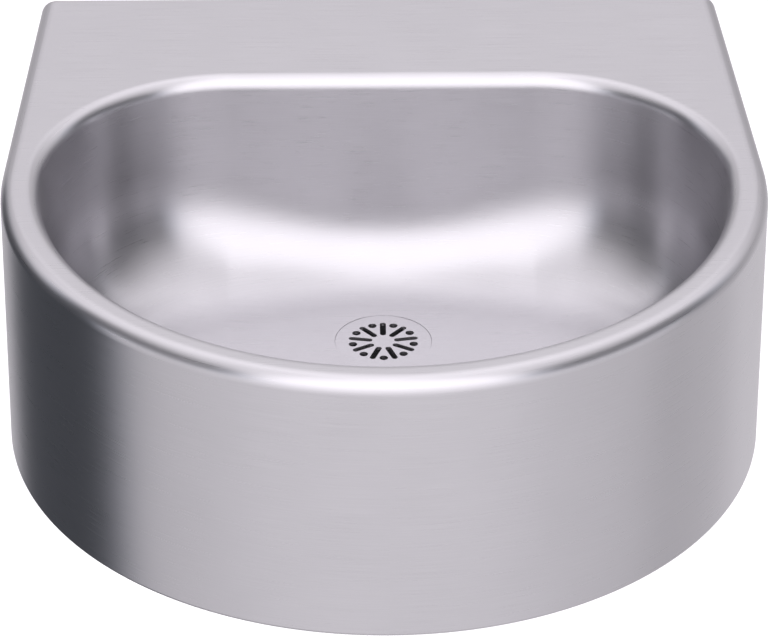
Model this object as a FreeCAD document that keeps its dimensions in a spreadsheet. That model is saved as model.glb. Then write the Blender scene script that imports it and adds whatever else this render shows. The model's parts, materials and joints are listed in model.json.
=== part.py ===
"""A wall-hung hand wash basin in satin stainless steel, modelled as its separate pieces.

Frame: millimetres, +Z up, +Y into the wall. The wall's face is Y = 0 and the basin stands out
towards -Y. The origin is the middle of the four holes that hold the bracket to the wall.
"""
import FreeCAD, Part
import os
import re
import Sketcher
from FreeCAD import Placement, Rotation, Vector

SIZES = {
    # plan of the basin
    "front_radius": 200.0,          # outside of the round front
    "wall_to_centre": 196.5,        # wall to the centre of the round front
    "side_taper": 3.8,              # degrees that each side draws in towards the wall
    # section of the basin
    "basin_height": 152.0,          # lower edge to rim
    "rim_height": 56.0,             # rim above the middle of the wall fixings
    "sheet_thickness": 1.2,
    "outer_roll": 8.5,              # outside radius between rim and apron
    "back_bend": 3.0,               # outside bend between the wall and the ledge and sides
    "mouth_roll": 8.0,              # radius between ledge and bowl wall
    "weld_drop": 24.0,              # rim to the butt weld round the apron
    "lip_bend": 2.2,                # outside bend at the lower edge
    "lip_width": 12.0,              # lower edge turned in by this much
    "return_width": 22.0,           # apron ends turned in along the wall
    # bowl
    "rim_width": 20.0,              # apron face to bowl wall
    "ledge_depth": 93.0,            # wall to bowl wall
    "opening_corner": 100.0,        # plan radius of the bowl's two back corners
    "bowl_draft": 3.0,              # degrees
    "bowl_depth": 116.0,            # rim to the lowest point of the floor
    "floor_fillet": 34.0,
    "dish_radius": 1600.0,          # the floor falls to the waste as a shallow dish
    "drain_to_wall": 175.0,
    # waste fitting
    "flange_diameter": 52.0,
    "flange_thickness": 2.0,
    "recess_clearance": 0.1,        # seam round the flange, which is ground flush with the floor
    "tail_diameter": 41.9,          # outside of a G 1 1/4 thread
    "tail_bore": 38.0,
    "tail_length": 50.0,
    "tail_clearance": 0.4,          # round the tail in the bowl and in what is on the tail
    "slot_count": 9.0,
    "slot_width": 3.2,
    "slot_start": 6.0,              # radius where the slots begin
    "slot_end": 18.8,               # radius where they end
    "dot_diameter": 4.5,
    "dot_ring": 16.6,               # radius of the ring of round holes
    "gasket_thickness": 1.5,
    "washer_diameter": 54.0,
    "rubber_thickness": 3.0,
    "slip_thickness": 1.5,
    "backnut_flats": 54.0,
    "backnut_thickness": 9.0,
    # wall bracket
    "bracket_thickness": 2.5,
    "bracket_length": 280.0,
    "bracket_step": 6.0,            # tongue stands this far off the wall
    "bracket_drop": 30.0,           # bracket below the middle of its holes
    "bracket_clearance": 1.2,       # between the bracket's shoulder and the steel above it
    "tongue_height": 20.0,
    "fixing_span": 220.0,           # wall fixings, across
    "fixing_rise": 32.0,            # wall fixings, up
    "fixing_hole": 8.5,
    # hanging rail under the ledge
    "rail_thickness": 2.0,
    "rail_length": 300.0,
    "rail_depth": 35.0,
    "hook_drop": 20.0,
    "rail_drop": 34.0,
    "hook_clearance": 0.5,
    # locking screws through the rail into the bracket's tongue
    "screw_span": 220.0,
    "screw_drop": 12.0,             # below the ledge's underside
    "screw_diameter": 6.0,
    "screw_length": 30.0,
    "screw_hole": 6.6,
    "head_diameter": 10.0,
    "head_height": 6.0,
    "hex_socket": 5.0,
    "socket_depth": 3.0,
    "nut_flats": 10.0,
    "nut_thickness": 5.0,
    "thread_clearance": 0.1,
    "washer_thickness": 1.2,
    "small_washer_diameter": 12.0,
    # ledge stiffener
    "stiffener_thickness": 1.5,
    "stiffener_near": 57.0,         # wall to its nearer edge
    "stiffener_width": 24.0,
    "stiffener_flange": 6.0,
    "stiffener_drop": 12.0,
    "stiffener_length": 240.0,
    # lugs behind the lower wall fixings
    "lug_thickness": 3.0,
    "lug_height": 40.0,
    "lug_rise": 10.0,               # above the lower edge
    "lower_hole": 7.0,
    # earth connection
    "tag_thickness": 1.5,
    "tag_width": 16.0,
    "tag_foot": 15.0,
    "tag_drop": 28.0,
    "tag_inset": 32.0,              # basin's back corner to the middle of the tag
    "tag_from_wall": 45.0,
    "earth_drop": 17.0,             # ledge underside to the earth screw
    "earth_length": 14.0,
    "star_thickness": 0.8,
    "star_teeth": 8.0,
    # damping
    "pad_thickness": 2.5,
    "pad_gap": 0.3,                 # glue line under the dished floor
    "pad_inner": 45.0,
    "pad_outer": 110.0,
    "strip_length": 200.0,
    "strip_width": 16.0,
    "strip_from_wall": 38.0,
}

# Places that several pieces share, as formulas of the sizes.
RIM = "rim_height"
LOWER_EDGE = "(rim_height - basin_height)"
WELD = "(rim_height - weld_drop)"
UNDER_LEDGE = "(rim_height - sheet_thickness)"
FLOOR = "(rim_height - bowl_depth)"
RECESS_FLOOR = "(rim_height - bowl_depth - flange_thickness - gasket_thickness)"
RECESS_UNDERSIDE = "(rim_height - bowl_depth - flange_thickness - gasket_thickness - sheet_thickness)"
HALF_BACK = "(front_radius / cos(side_taper) - wall_to_centre * tan(side_taper))"
TONGUE_TOP = "(rim_height - sheet_thickness - rail_thickness)"
SHOULDER = "(rim_height - sheet_thickness - rail_thickness - tongue_height)"
SCREW_HEIGHT = "(rim_height - sheet_thickness - screw_drop)"
EARTH_HEIGHT = "(rim_height - sheet_thickness - earth_drop)"
TAG_FACE = "(tag_from_wall + tag_foot)"
TAG_ACROSS = "(%s - tag_inset)" % HALF_BACK

UP = Vector(0, 0, 1)
OVERSHOOT = "1"                     # how far a cutting shape runs past what it cuts

document = FreeCAD.newDocument("hand_wash_basin")
sub_parts = []


# ---------------------------------------------------------------- sheet and bindings

def make_sheet():
    """Write every size to the sheet, one row each, under its own alias."""
    sheet = document.addObject("Spreadsheet::Sheet", "sizes")
    for row, (name, value) in enumerate(SIZES.items(), start=1):
        sheet.set("A%d" % row, name)
        sheet.set("B%d" % row, str(value))
        sheet.setAlias("B%d" % row, name)
    document.recompute()


def formula(text):
    """Point each size that a formula names at its cell in the sheet."""
    def in_sheet(match):
        word = match.group(0)
        return "sizes." + word if word in SIZES else word
    return re.sub(r"[a-z_]+", in_sheet, text)


def bind(feature, prop, text):
    """Bind one property of a feature to a formula of the sizes."""
    feature.setExpression(prop, formula(text))


def sub_part(feature, name):
    """Name a finished piece and put it on the list of what is written out."""
    feature.Label = name
    sub_parts.append(feature)
    return feature


# ---------------------------------------------------------------- sketches

def new_body(name):
    return document.addObject("PartDesign::Body", name)


def sketch_on(body, name, role, x="0", y="0", z="0"):
    """Attach a sketch to one of its body's planes, moved along the plane's own axes."""
    sketch = body.newObject("Sketcher::SketchObject", name)
    plane = next(item for item in body.Origin.OriginFeatures if item.Role == role)
    sketch.AttachmentSupport = [(plane, "")]
    sketch.MapMode = "FlatFace"
    for axis, text in zip("xyz", (x, y, z)):
        bind(sketch, "AttachmentOffset.Base." + axis, text)
    return sketch


def measure(sketch, name, text, kind, *geometry):
    """Add a named constraint whose value is a formula of the sizes."""
    index = sketch.addConstraint(Sketcher.Constraint(kind, *geometry))
    sketch.renameConstraint(index, name)
    bind(sketch, "Constraints." + name, text)


def polygon(sketch, corners):
    """Draw a closed polygon whose corners are pairs of formulas."""
    count = len(corners)
    start = [Rotation(UP, 360.0 * step / count).multVec(Vector(10, 0, 0)) for step in range(count)]
    for step in range(count):
        sketch.addGeometry(Part.LineSegment(start[step], start[(step + 1) % count]), False)
    for step in range(count):
        sketch.addConstraint(Sketcher.Constraint("Coincident", step, 2, (step + 1) % count, 1))
    for step, (across, along) in enumerate(corners):
        measure(sketch, "across_%s" % chr(97 + step), across, "DistanceX", -1, 1, step, 1, start[step].x)
        measure(sketch, "along_%s" % chr(97 + step), along, "DistanceY", -1, 1, step, 1, start[step].y)


def circle(sketch, name, diameter, across="0", along="0"):
    """Draw a circle of a bound diameter and place."""
    index = sketch.addGeometry(Part.Circle(Vector(1, 1, 0), UP, 5), False)
    measure(sketch, name + "_diameter", diameter, "Diameter", index, 10)
    measure(sketch, name + "_across", across, "DistanceX", -1, 1, index, 3, 1)
    measure(sketch, name + "_along", along, "DistanceY", -1, 1, index, 3, 1)


def basin_plan(body, name, inset, height):
    """Draw the basin's plan: a round front, two sides tangent to it and a straight back.

    An inset moves the whole line inwards. The sides are parallel to those of the full plan.
    """
    sketch = sketch_on(body, name, "XY_Plane", y="-wall_to_centre", z=height)
    radius = SIZES["front_radius"]
    turn = Rotation(UP, SIZES["side_taper"])
    depth = SIZES["wall_to_centre"]
    touch = turn.multVec(Vector(radius, 0, 0))
    back_corner = Vector(touch.x, depth, 0)
    front = Part.Arc(Vector(-touch.x, touch.y, 0), Vector(0, -radius, 0), touch)
    arc = sketch.addGeometry(front, False)
    right = sketch.addGeometry(Part.LineSegment(touch, back_corner), False)
    back = sketch.addGeometry(Part.LineSegment(back_corner, Vector(-touch.x, depth, 0)), False)
    left = sketch.addGeometry(
        Part.LineSegment(Vector(-touch.x, depth, 0), Vector(-touch.x, touch.y, 0)), False)
    sketch.addConstraint(Sketcher.Constraint("Coincident", arc, 3, -1, 1))
    sketch.addConstraint(Sketcher.Constraint("Tangent", arc, 2, right, 1))
    sketch.addConstraint(Sketcher.Constraint("Coincident", right, 2, back, 1))
    sketch.addConstraint(Sketcher.Constraint("Coincident", back, 2, left, 1))
    sketch.addConstraint(Sketcher.Constraint("Tangent", left, 2, arc, 1))
    sketch.addConstraint(Sketcher.Constraint("Symmetric", back, 1, back, 2, -2))
    measure(sketch, "front", "front_radius - " + inset, "Radius", arc, radius)
    measure(sketch, "depth", "wall_to_centre - " + inset, "DistanceY", -1, 1, back, 1, depth)
    measure(sketch, "lean", "90 + side_taper", "Angle", right, 1.6)
    return sketch


def bowl_plan(body, name, grow):
    """Draw the bowl's opening at the rim: a round front, two large corners and a straight back."""
    sketch = sketch_on(body, name, "XY_Plane", y="-wall_to_centre", z=RIM)
    radius = SIZES["front_radius"] - SIZES["rim_width"]
    corner = SIZES["opening_corner"]
    depth = SIZES["wall_to_centre"] - SIZES["ledge_depth"]
    centre = Vector(((radius - corner) ** 2 - (depth - corner) ** 2) ** 0.5, depth - corner, 0)
    touch = centre * (radius / (radius - corner))
    middle = centre + Vector(1, 1, 0).normalize() * corner
    end = centre + Vector(0, corner, 0)

    def mirrored(point):
        return Vector(-point.x, point.y, 0)

    front = sketch.addGeometry(Part.Arc(mirrored(touch), Vector(0, -radius, 0), touch), False)
    right = sketch.addGeometry(Part.Arc(touch, middle, end), False)
    back = sketch.addGeometry(Part.LineSegment(end, mirrored(end)), False)
    left = sketch.addGeometry(Part.Arc(mirrored(end), mirrored(middle), mirrored(touch)), False)
    sketch.addConstraint(Sketcher.Constraint("Coincident", front, 3, -1, 1))
    for first, second in ((front, right), (right, back), (back, left), (left, front)):
        sketch.addConstraint(Sketcher.Constraint("Tangent", first, 2, second, 1))
    sketch.addConstraint(Sketcher.Constraint("Symmetric", back, 1, back, 2, -2))
    measure(sketch, "front", "front_radius - rim_width + " + grow, "Radius", front, radius)
    measure(sketch, "corner", "opening_corner + " + grow, "Radius", right, corner)
    measure(sketch, "depth", "wall_to_centre - ledge_depth + " + grow, "DistanceY", -1, 1, back, 1, depth)
    return sketch


# ---------------------------------------------------------------- features

def pad(body, name, sketch, length, both_ways=False, taper=None, downwards=False):
    feature = body.newObject("PartDesign::Pad", name)
    feature.Profile = sketch
    feature.Reversed = downwards
    bind(feature, "Length", length)
    if both_ways:
        feature.SideType = "Symmetric"
    if taper:
        bind(feature, "TaperAngle", taper)
    document.recompute()
    return feature


def pocket_through(body, name, sketch):
    """Cut a sketch through the whole body, both ways."""
    before = body.Shape.Volume
    feature = body.newObject("PartDesign::Pocket", name)
    feature.Profile = sketch
    feature.SideType = "Symmetric"
    feature.Type = "ThroughAll"
    document.recompute()
    if not feature.Shape.Volume < before:
        raise RuntimeError("%s cuts nothing" % name)
    return feature


def fillet(body, name, edges, radius):
    """Round the edges of the body's last feature that are given."""
    base = body.Tip
    names = ["Edge%d" % (index + 1) for index, edge in enumerate(base.Shape.Edges)
             if any(edge.isSame(wanted) for wanted in edges)]
    feature = body.newObject("PartDesign::Fillet", name)
    feature.Base = (base, names)
    bind(feature, "Radius", radius)
    document.recompute()
    return feature


def revolve(kind, body, name, sketch, angle=360.0):
    """Turn a sketch about its own upright axis, as a Revolution or a Groove."""
    feature = body.newObject("PartDesign::" + kind, name)
    feature.Profile = sketch
    feature.ReferenceAxis = (sketch, ["V_Axis"])
    feature.Angle = angle
    document.recompute()
    return feature


def copies(kind, body, name, originals, **settings):
    """Repeat features with a pattern or a mirror, and make that the body's tip."""
    feature = body.newObject("PartDesign::" + kind, name)
    feature.Originals = originals
    for prop, value in settings.items():
        setattr(feature, prop, value)
    body.Tip = feature
    document.recompute()
    return feature


def own_plane(body, role):
    return (next(item for item in body.Origin.OriginFeatures if item.Role == role), [""])


def on_both_sides(body, originals):
    """Mirror features to the other side of the basin."""
    return copies("Mirrored", body, body.Name + "_pair", originals,
                  MirrorPlane=own_plane(body, "YZ_Plane"))


def primitive(kind, name, sizes, place, rotation=Rotation()):
    """Make a Part primitive with bound sizes and a bound place."""
    feature = document.addObject("Part::" + kind, name)
    feature.Placement = Placement(Vector(0, 0, 0), rotation)
    for prop, text in sizes.items():
        bind(feature, prop, text)
    for axis, text in zip("xyz", place):
        bind(feature, "Placement.Base." + axis, text)
    return feature


def combine(kind, name, base, tool):
    """Join two shapes with a Part boolean: Cut, Common or Fuse."""
    feature = document.addObject("Part::" + kind, name)
    feature.Base = base
    feature.Tool = tool
    document.recompute()
    return feature


# ---------------------------------------------------------------- the basin's sheet metal

def bowl_space(name, grow, thickness):
    """Make the bowl's hollow as a solid: drafted walls, a dished floor, a fillet and the waste's recess.

    The grow and thickness are 0 for the inside of the steel, and the wall for its underside.
    """
    body = new_body(name)
    mouth = bowl_plan(body, name + "_mouth", grow)
    pad(body, name + "_walls", mouth, "bowl_depth + floor_fillet", taper="-bowl_draft", downwards=True)

    floor = "(%s - %s)" % (FLOOR, thickness)
    below = sketch_on(body, name + "_below_dish", "XZ_Plane", z="drain_to_wall")
    radius = SIZES["dish_radius"]
    reach = SIZES["front_radius"] + SIZES["wall_to_centre"]
    level = SIZES["rim_height"] - SIZES["bowl_depth"]
    rise = radius - (radius ** 2 - reach ** 2) ** 0.5
    half = Vector(reach / 2, level + radius - (radius ** 2 - reach ** 2 / 4) ** 0.5, 0)
    rim = Vector(reach, level + rise, 0)
    foot = Vector(reach, level - radius / 10, 0)
    axis_foot = Vector(0, level - radius / 10, 0)
    bottom = Vector(0, level, 0)
    dish = below.addGeometry(Part.Arc(bottom, half, rim), False)
    outside = below.addGeometry(Part.LineSegment(rim, foot), False)
    base = below.addGeometry(Part.LineSegment(foot, axis_foot), False)
    axis = below.addGeometry(Part.LineSegment(axis_foot, bottom), False)
    for first, end, second, start in ((dish, 2, outside, 1), (outside, 2, base, 1),
                                      (base, 2, axis, 1), (axis, 2, dish, 1)):
        below.addConstraint(Sketcher.Constraint("Coincident", first, end, second, start))
    for line, point in ((dish, 3), (axis, 1), (axis, 2)):
        below.addConstraint(Sketcher.Constraint("PointOnObject", line, point, -2))
    below.addConstraint(Sketcher.Constraint("Vertical", outside))
    below.addConstraint(Sketcher.Constraint("Horizontal", base))
    measure(below, "dish", "dish_radius + " + thickness, "Radius", dish, radius)
    measure(below, "reach", "front_radius + wall_to_centre", "DistanceX", -1, 1, outside, 2, reach)
    measure(below, "floor", floor, "DistanceY", -1, 1, axis, 2, level)
    measure(below, "clear", "bowl_depth + floor_fillet", "DistanceY", axis, 1, axis, 2, radius / 10)
    dished = revolve("Groove", body, name + "_dish", below)

    floor_face = next(face for face in dished.Shape.Faces if isinstance(face.Surface, Part.Sphere))
    fillet(body, name + "_floor_fillet", floor_face.Edges, "floor_fillet + " + thickness)

    recess = sketch_on(body, name + "_recess_outline", "XY_Plane", y="-drain_to_wall",
                       z="%s - %s" % (RECESS_FLOOR, thickness))
    circle(recess, "recess", "flange_diameter + 2 * recess_clearance + 2 * " + thickness)
    pad(body, name + "_recess", recess, "flange_thickness + 2 * gasket_thickness")
    return body


def basin_form(name, inset, grow):
    """Make the basin as a block with its rolls and bowl: the outside of the steel, or its inside.

    The bend along the wall runs on over the ends of the outer roll and down the two back corners.
    """
    body = new_body(name)
    plan = basin_plan(body, name + "_plan", inset, "%s + %s" % (LOWER_EDGE, inset))
    block = pad(body, name + "_block", plan, "basin_height - 2 * " + inset)
    box = block.Shape.BoundBox

    def level_edges(shape, height, at_wall):
        """List the level edges at a height, either those along the wall or all the others."""
        return [edge for edge in shape.Edges
                if abs(edge.BoundBox.ZMin - height) < 1e-3 and edge.BoundBox.ZLength < 1e-3
                and (edge.BoundBox.YMin > box.YMax - 1e-3) == at_wall]

    rolled = fillet(body, name + "_outer_roll", level_edges(block.Shape, box.ZMax, False),
                    "outer_roll - " + inset)
    bent = fillet(body, name + "_back_bend", level_edges(rolled.Shape, box.ZMax, True),
                  "back_bend - " + inset)
    fillet(body, name + "_lower_bend", level_edges(bent.Shape, box.ZMin, False), "lip_bend - " + inset)

    hollow = bowl_space(name + "_bowl", grow, inset)
    cut = body.newObject("PartDesign::Boolean", name + "_hollowed")
    cut.Type = "Cut"
    cut.setObjects([hollow])
    document.recompute()
    ledge = next(face for face in cut.Shape.Faces
                 if isinstance(face.Surface, Part.Plane) and abs(face.CenterOfMass.z - box.ZMax) < 1e-3)
    mouth = [edge for wire in ledge.Wires if not wire.isSame(ledge.OuterWire) for edge in wire.Edges]
    fillet(body, name + "_mouth_roll", mouth, "mouth_roll - " + inset)
    return body


def make_basin():
    """Make the bowl pressing and the apron, which meet at a butt weld below the rim."""
    outside = basin_form("outside", "0", "0")
    inside = basin_form("inside", "sheet_thickness", "sheet_thickness / cos(bowl_draft)")
    steel = combine("Cut", "steel_skin", outside, inside)

    waste_hole = primitive(
        "Cylinder", "waste_hole",
        {"Radius": "tail_diameter / 2 + tail_clearance", "Height": "4 * sheet_thickness"},
        ("0", "-drain_to_wall", RECESS_UNDERSIDE + " - sheet_thickness"))
    back_window = primitive(
        "Box", "back_window",
        {"Length": "2 * (%s - return_width)" % HALF_BACK,
         "Width": "lip_width + 2 * " + OVERSHOOT,
         "Height": "%s + bracket_clearance - %s + %s" % (SHOULDER, LOWER_EDGE, OVERSHOOT)},
        ("return_width - " + HALF_BACK, "-lip_width - " + OVERSHOOT, LOWER_EDGE + " - " + OVERSHOOT))
    underside = new_body("underside")
    opening = basin_plan(underside, "underside_plan", "lip_width", LOWER_EDGE + " - " + OVERSHOOT)
    pad(underside, "underside_opening", opening, "sheet_thickness + 2 * " + OVERSHOOT)
    lower_holes = [lower_fixing_hole("right_fixing_hole", "1"), lower_fixing_hole("left_fixing_hole", "-1")]
    for tool in [waste_hole, back_window, underside] + lower_holes:
        steel = combine("Cut", "steel_less_" + tool.Name, steel, tool)

    around = primitive(
        "Box", "below_weld",
        {"Length": "4 * front_radius", "Width": "4 * front_radius", "Height": "basin_height"},
        ("-2 * front_radius", "-2 * front_radius - wall_to_centre", WELD + " - basin_height"))
    core = new_body("bowl_core")
    core_plan = basin_plan(core, "bowl_core_plan", "rim_width / 2", LOWER_EDGE + " + 2 * sheet_thickness")
    pad(core, "bowl_core_block", core_plan, "basin_height")
    apron_space = combine("Cut", "apron_space", around, core)
    apron = combine("Common", "apron", steel, apron_space)
    pressing = combine("Cut", "pressing", steel, apron_space)
    sub_part(pressing, "bowl_pressing")
    sub_part(apron, "apron_band")


def lower_fixing_hole(name, side):
    """Make the drill for a lower wall fixing, through the apron's return and its lug."""
    return primitive(
        "Cylinder", name,
        {"Radius": "lower_hole / 2", "Height": "2 * (sheet_thickness + lug_thickness)"},
        ("%s * (%s - return_width / 2)" % (side, HALF_BACK), "sheet_thickness",
         LOWER_EDGE + " + lug_rise + lug_height / 2"),
        Rotation(Vector(1, 0, 0), 90))


def make_fixing_lugs():
    """Make the two plates welded inside the apron's returns behind the lower fixings."""
    for name, side, start in (("right_fixing_lug", "1", HALF_BACK + " - return_width"),
                              ("left_fixing_lug", "-1", "back_bend + sheet_thickness - " + HALF_BACK)):
        plate = primitive(
            "Box", name + "_plate",
            {"Length": "return_width - back_bend - sheet_thickness", "Width": "lug_thickness",
             "Height": "lug_height"},
            (start, "-sheet_thickness - lug_thickness", LOWER_EDGE + " + lug_rise"))
        drill = lower_fixing_hole(name + "_drill", side)
        sub_part(combine("Cut", name, plate, drill), name)


# ---------------------------------------------------------------- what hangs the basin

def pair_of_holes(body, name, diameter, span, height):
    """Cut two holes along Y through a body, one each side of the middle."""
    sketch = sketch_on(body, name + "_outline", "XZ_Plane")
    circle(sketch, "right", diameter, span + " / 2", height)
    circle(sketch, "left", diameter, "-%s / 2" % span, height)
    return pocket_through(body, name, sketch)


def make_rear_rail():
    """Make the channel welded under the ledge, whose back leg hooks behind the bracket's tongue."""
    body = new_body("rail")
    near = "-(bracket_step - hook_clearance - rail_thickness)"
    hook = "-(bracket_step - hook_clearance)"
    profile = sketch_on(body, "rail_profile", "YZ_Plane")
    polygon(profile, [
        ("-rail_depth", UNDER_LEDGE),
        ("-rail_depth", UNDER_LEDGE + " - rail_drop"),
        ("rail_thickness - rail_depth", UNDER_LEDGE + " - rail_drop"),
        ("rail_thickness - rail_depth", UNDER_LEDGE + " - rail_thickness"),
        (hook, UNDER_LEDGE + " - rail_thickness"),
        (hook, UNDER_LEDGE + " - hook_drop"),
        (near, UNDER_LEDGE + " - hook_drop"),
        (near, UNDER_LEDGE),
    ])
    pad(body, "rail_channel", profile, "rail_length", both_ways=True)
    # the screws' holes are only in the front leg, so their pockets stop short of the hook
    holes = sketch_on(body, "rail_holes_outline", "XZ_Plane", z="rail_depth / 2")
    circle(holes, "right", "screw_hole", "screw_span / 2", SCREW_HEIGHT)
    circle(holes, "left", "screw_hole", "-screw_span / 2", SCREW_HEIGHT)
    before = body.Shape.Volume
    feature = body.newObject("PartDesign::Pocket", "rail_holes")
    feature.Profile = holes
    feature.Reversed = True
    bind(feature, "Length", "rail_depth")
    document.recompute()
    if not feature.Shape.Volume < before:
        raise RuntimeError("the rail's holes cut nothing")
    sub_part(body, "rear_rail")


def make_wall_bracket():
    """Make the folded bracket that is screwed to the wall, with the tongue that carries the rail."""
    body = new_body("bracket")
    profile = sketch_on(body, "bracket_profile", "YZ_Plane")
    polygon(profile, [
        ("0", "-bracket_drop"),
        ("0", SHOULDER),
        ("-bracket_step", SHOULDER),
        ("-bracket_step", TONGUE_TOP),
        ("-bracket_step - bracket_thickness", TONGUE_TOP),
        ("-bracket_step - bracket_thickness", SHOULDER + " - bracket_thickness"),
        ("-bracket_thickness", SHOULDER + " - bracket_thickness"),
        ("-bracket_thickness", "-bracket_drop"),
    ])
    pad(body, "bracket_plate", profile, "bracket_length", both_ways=True)
    pair_of_holes(body, "upper_fixings", "fixing_hole", "fixing_span", "fixing_rise / 2")
    pair_of_holes(body, "lower_fixings", "fixing_hole", "fixing_span", "-fixing_rise / 2")
    pair_of_holes(body, "tongue_holes", "screw_hole", "screw_span", SCREW_HEIGHT)
    sub_part(body, "wall_bracket")


def ring_along_y(name, outer, inner, thickness, across, front_face, height):
    """Make a washer that faces along Y, from its front face towards the wall.

    Returns its body and the disc, which a pattern or a mirror can repeat.
    """
    body = new_body(name)
    sketch = sketch_on(body, name + "_outline", "XZ_Plane", x=across, y=height, z=front_face)
    circle(sketch, "outer", outer)
    circle(sketch, "inner", inner)
    feature = pad(body, name + "_disc", sketch, thickness, downwards=True)
    return body, feature


def hex_nut(name, flats, bore, thickness, place, rotation):
    """Make a hexagon nut as a prism less its bore."""
    prism = primitive("Prism", name + "_prism",
                      {"Circumradius": flats + " / sqrt(3)", "Height": thickness}, place, rotation)
    prism.Polygon = 6
    hole = primitive("Cylinder", name + "_bore",
                     {"Radius": bore + " / 2", "Height": thickness}, place, rotation)
    return combine("Cut", name, prism, hole)


def socket_screw(name, length, across, seat, height):
    """Make a socket head screw along Y, its head in front of the seat and its tip towards the wall.

    Returns its body and its two features, which a mirror can repeat.
    """
    body = new_body(name)
    profile = sketch_on(body, name + "_profile", "XY_Plane", x=across, y="-(%s)" % seat, z=height)
    polygon(profile, [
        ("0", "-head_height"),
        ("head_diameter / 2", "-head_height"),
        ("head_diameter / 2", "0"),
        ("screw_diameter / 2", "0"),
        ("screw_diameter / 2", length),
        ("0", length),
    ])
    shank = revolve("Revolution", body, name + "_shank", profile)
    key = sketch_on(body, name + "_key", "XZ_Plane", x=across, y=height, z="%s + head_height" % seat)
    side = "hex_socket / sqrt(3)"
    polygon(key, [
        (side, "0"),
        (side + " / 2", "hex_socket / 2"),
        ("-%s / 2" % side, "hex_socket / 2"),
        ("-" + side, "0"),
        ("-%s / 2" % side, "-hex_socket / 2"),
        (side + " / 2", "-hex_socket / 2"),
    ])
    socket = body.newObject("PartDesign::Pocket", name + "_socket")
    socket.Profile = key
    socket.Reversed = False
    bind(socket, "Length", "socket_depth")
    document.recompute()
    if not socket.Shape.Volume < shank.Shape.Volume:
        raise RuntimeError("%s has no socket" % name)
    return body, [shank, socket]


def make_locking_set():
    """Make the two screws, washers and weld nuts that stop the basin being lifted off."""
    body, features = socket_screw("locking_screw", "screw_length", "screw_span / 2",
                                  "(rail_depth + washer_thickness)", SCREW_HEIGHT)
    on_both_sides(body, features)
    sub_part(body, "locking_screws")

    body, disc = ring_along_y("locking_washer", "small_washer_diameter", "screw_hole", "washer_thickness",
                              "screw_span / 2", "rail_depth + washer_thickness", SCREW_HEIGHT)
    on_both_sides(body, [disc])
    sub_part(body, "locking_washers")

    along_y = Rotation(Vector(1, 0, 0), -90)
    pair = []
    for side in ("1", "-1"):
        name = "locking_nut_" + ("right" if side == "1" else "left")
        place = (side + " * screw_span / 2", "rail_thickness - rail_depth", SCREW_HEIGHT)
        pair.append(hex_nut(name, "nut_flats", "(screw_diameter + thread_clearance)", "nut_thickness",
                            place, along_y))
    nuts = document.addObject("Part::Compound", "locking_nut_pair")
    nuts.Links = pair
    document.recompute()
    sub_part(nuts, "locking_nuts")


def make_ledge_stiffener():
    """Make the hat section spot-welded under the ledge."""
    body = new_body("stiffener")
    near = "-stiffener_near"
    far = "-(stiffener_near + stiffener_width)"
    inner_near = "-(stiffener_near + stiffener_flange)"
    inner_far = "-(stiffener_near + stiffener_width - stiffener_flange)"
    profile = sketch_on(body, "stiffener_profile", "YZ_Plane")
    polygon(profile, [
        (near, UNDER_LEDGE),
        (inner_near, UNDER_LEDGE),
        (inner_near, UNDER_LEDGE + " - stiffener_drop + stiffener_thickness"),
        (inner_far, UNDER_LEDGE + " - stiffener_drop + stiffener_thickness"),
        (inner_far, UNDER_LEDGE),
        (far, UNDER_LEDGE),
        (far, UNDER_LEDGE + " - stiffener_thickness"),
        (inner_far + " - stiffener_thickness", UNDER_LEDGE + " - stiffener_thickness"),
        (inner_far + " - stiffener_thickness", UNDER_LEDGE + " - stiffener_drop"),
        (inner_near + " + stiffener_thickness", UNDER_LEDGE + " - stiffener_drop"),
        (inner_near + " + stiffener_thickness", UNDER_LEDGE + " - stiffener_thickness"),
        (near, UNDER_LEDGE + " - stiffener_thickness"),
    ])
    pad(body, "stiffener_hat", profile, "stiffener_length", both_ways=True)
    sub_part(body, "ledge_stiffener")


# ---------------------------------------------------------------- waste

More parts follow.
